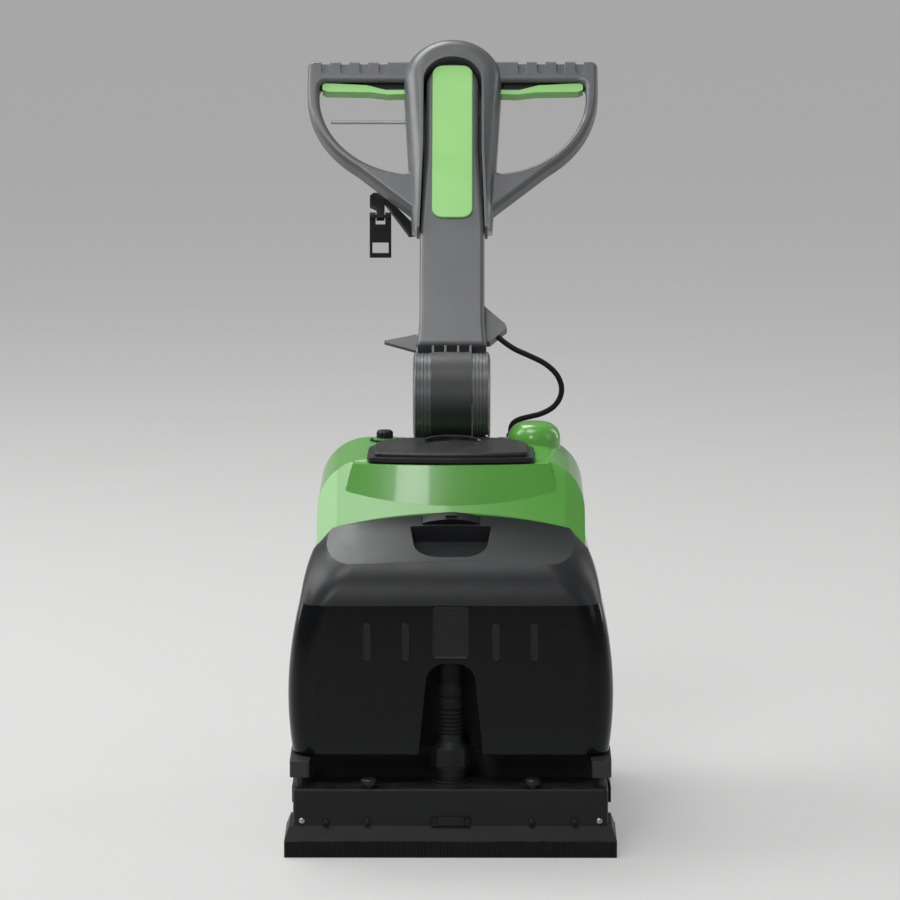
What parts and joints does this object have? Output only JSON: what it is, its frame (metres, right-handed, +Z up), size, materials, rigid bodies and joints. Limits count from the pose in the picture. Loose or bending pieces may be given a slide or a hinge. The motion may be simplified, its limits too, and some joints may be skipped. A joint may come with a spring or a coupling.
{
  "type": "floor scrubber",
  "caption": "Compact walk-behind floor scrubber-dryer with a cylindrical brush, floating squeegees, lift-off recovery tank, green solution tank and a tilting loop handle.",
  "frame": {"origin": "middle of the bounding box at floor level", "axes": "+Z up, front squeegee faces -Y, handle leans back towards +Y, +X on the right seen from the front"},
  "size_m": [0.345, 0.6752, 0.7931],
  "materials": {
    "green_shell": "glossy moulded plastic",
    "light_green": "satin moulded plastic",
    "handle_grey": "satin fine-grained plastic",
    "charcoal": "satin moulded plastic",
    "smoked_black": "glossy smoked plastic",
    "black_plastic": "fine-grained black plastic",
    "rubber": "matt rubber",
    "bristle": "stiff nylon strands",
    "painted_frame": "black powder coat",
    "deck": "moulded structural plastic",
    "steel": "turned steel",
    "motor_metal": "cast and turned aluminium"
  },
  "bodies": {
    "chassis": {"chassis": "deck", "squeegee_hangers": "painted_frame", "brush_bearings": "steel", "drive_belt": "rubber", "brush_motor": "motor_metal", "belt_cover": "charcoal", "brush_access_cover": "charcoal", "spray_bar": "black_plastic", "wheel_axle": "steel", "motor_housing": "charcoal", "rear_cover": "charcoal", "battery_pack": "black_plastic", "vacuum_motor": "motor_metal", "water_pump": "black_plastic", "solution_tank": "green_shell", "rear_suction_pipe": "black_plastic", "handle_post": "handle_grey", "cable_gland": "black_plastic", "control_cable": "rubber"},
    "front_squeegee": {"front_squeegee_channel": "black_plastic", "front_blade_carrier": "black_plastic", "front_squeegee_blades": "rubber", "front_squeegee_knobs": "black_plastic"},
    "rear_squeegee": {"rear_squeegee_channel": "black_plastic", "rear_blade_carrier": "black_plastic", "rear_squeegee_blades": "rubber", "rear_squeegee_knobs": "black_plastic"},
    "brush": {"brush_shaft": "steel", "brush_core": "black_plastic", "brush_bristles": "bristle", "brush_pulley": "steel"},
    "motor_pulley": {"motor_pulley": "steel"},
    "impeller": {"impeller": "black_plastic"},
    "left_wheel": {"left_wheel": "black_plastic", "left_tyre": "rubber"},
    "right_wheel": {"right_wheel": "black_plastic", "right_tyre": "rubber"},
    "recovery_tank": {"recovery_tank": "smoked_black", "recovery_cover": "charcoal", "suction_hose": "rubber", "hose_cuff": "black_plastic"},
    "tank_latch": {"tank_latch": "charcoal"},
    "tank_lid": {"tank_lid": "charcoal", "lid_gasket": "rubber"},
    "vent_cap": {"vent_cap": "charcoal"},
    "handle": {"handle_column": "handle_grey", "handle_head": "handle_grey", "insert_panel": "light_green", "hinge_pin": "steel", "hinge_caps": "charcoal", "cord_hook": "handle_grey", "control_panel": "handle_grey", "cable_guard": "handle_grey"},
    "left_trigger": {"left_trigger": "light_green"},
    "right_trigger": {"right_trigger": "light_green"},
    "flow_lever": {"flow_lever": "steel"},
    "lock_lever": {"lock_lever": "handle_grey"},
    "hook_clip": {"hook_clip": "charcoal"},
    "power_button": {"power_button": "black_plastic"},
    "brush_button": {"brush_button": "black_plastic"}
  },
  "joints": [
    {"name": "handle_tilt", "type": "hinge", "parent": "chassis", "child": "handle", "pos_m": [0, 0.00241, 0.433], "axis": [1, 0, 0], "range_deg": [-18, 40], "deforming": ["control_cable"]},
    {"name": "left_trigger_pull", "type": "hinge", "parent": "handle", "child": "left_trigger", "pos_m": [-0.048, 0.27374, 0.73435], "axis": [0, 0.7431, -0.6691], "range_deg": [0, 6], "stiffness_Nm_per_rad": 2, "springref_deg": -5.73},
    {"name": "right_trigger_pull", "type": "hinge", "parent": "handle", "child": "right_trigger", "pos_m": [0.048, 0.27374, 0.73435], "axis": [0, -0.7431, 0.6691], "range_deg": [0, 6], "stiffness_Nm_per_rad": 2, "springref_deg": -5.73},
    {"name": "flow_lever_turn", "type": "hinge", "parent": "handle", "child": "flow_lever", "pos_m": [-0.046, 0.26009, 0.70424], "axis": [0, 0.7431, -0.6691], "range_deg": [0, 8], "stiffness_Nm_per_rad": 0.5, "springref_deg": -5.73},
    {"name": "lock_lever_turn", "type": "hinge", "parent": "handle", "child": "lock_lever", "pos_m": [-0.033, 0.05059, 0.48651], "axis": [0, 0.7431, -0.6691], "range_deg": [0, 12], "stiffness_Nm_per_rad": 0.5, "springref_deg": -11.46},
    {"name": "hook_clip_swing", "type": "hinge", "parent": "handle", "child": "hook_clip", "pos_m": [0, 0.20262, 0.60529], "axis": [1, 0, 0], "range_deg": [-45, 45]},
    {"name": "power_button_press", "type": "slide", "parent": "handle", "child": "power_button", "axis": [0, -0.7431, 0.6691], "range_m": [0, 0.0015], "stiffness_N_per_m": 800, "springref_m": -0.001},
    {"name": "brush_button_press", "type": "slide", "parent": "handle", "child": "brush_button", "axis": [0, -0.7431, 0.6691], "range_m": [0, 0.0015], "stiffness_N_per_m": 800, "springref_m": -0.001},
    {"name": "recovery_tank_lift", "type": "slide", "parent": "chassis", "child": "recovery_tank", "axis": [0, 0, 1], "range_m": [0, 0.32]},
    {"name": "tank_latch_press", "type": "slide", "parent": "recovery_tank", "child": "tank_latch", "axis": [0, 0.4848, -0.8746], "range_m": [0, 0.002], "stiffness_N_per_m": 600, "springref_m": -0.001},
    {"name": "tank_lid_lift", "type": "slide", "parent": "chassis", "child": "tank_lid", "axis": [0, 0, 1], "range_m": [0, 0.1]},
    {"name": "vent_cap_turn", "type": "hinge", "parent": "chassis", "child": "vent_cap", "pos_m": [-0.072, -0.03159, 0.397], "axis": [0, 0, 1], "range_deg": [0, 90]},
    {"name": "front_squeegee_float", "type": "slide", "parent": "chassis", "child": "front_squeegee", "axis": [0, 0, 1], "range_m": [0, 0.01]},
    {"name": "rear_squeegee_float", "type": "slide", "parent": "chassis", "child": "rear_squeegee", "axis": [0, 0, 1], "range_m": [0, 0.01]},
    {"name": "brush_spin", "type": "hinge", "parent": "chassis", "child": "brush", "pos_m": [0, -0.14759, 0.042], "axis": [1, 0, 0], "continuous": true},
    {"name": "motor_spin", "type": "hinge", "parent": "chassis", "child": "motor_pulley", "pos_m": [0, -0.08259, 0.146], "axis": [1, 0, 0], "continuous": true},
    {"name": "impeller_spin", "type": "hinge", "parent": "chassis", "child": "impeller", "pos_m": [0.089, -0.05359, 0.165], "axis": [0, 0, 1], "continuous": true},
    {"name": "left_wheel_roll", "type": "hinge", "parent": "chassis", "child": "left_wheel", "pos_m": [-0.111, 0.07041, 0.042], "axis": [1, 0, 0], "continuous": true},
    {"name": "right_wheel_roll", "type": "hinge", "parent": "chassis", "child": "right_wheel", "pos_m": [0.111, 0.07041, 0.042], "axis": [1, 0, 0], "continuous": true}
  ],
  "couplings": [
    {"joint": "motor_spin", "follows": "brush_spin", "ratio": 2}
  ]
}
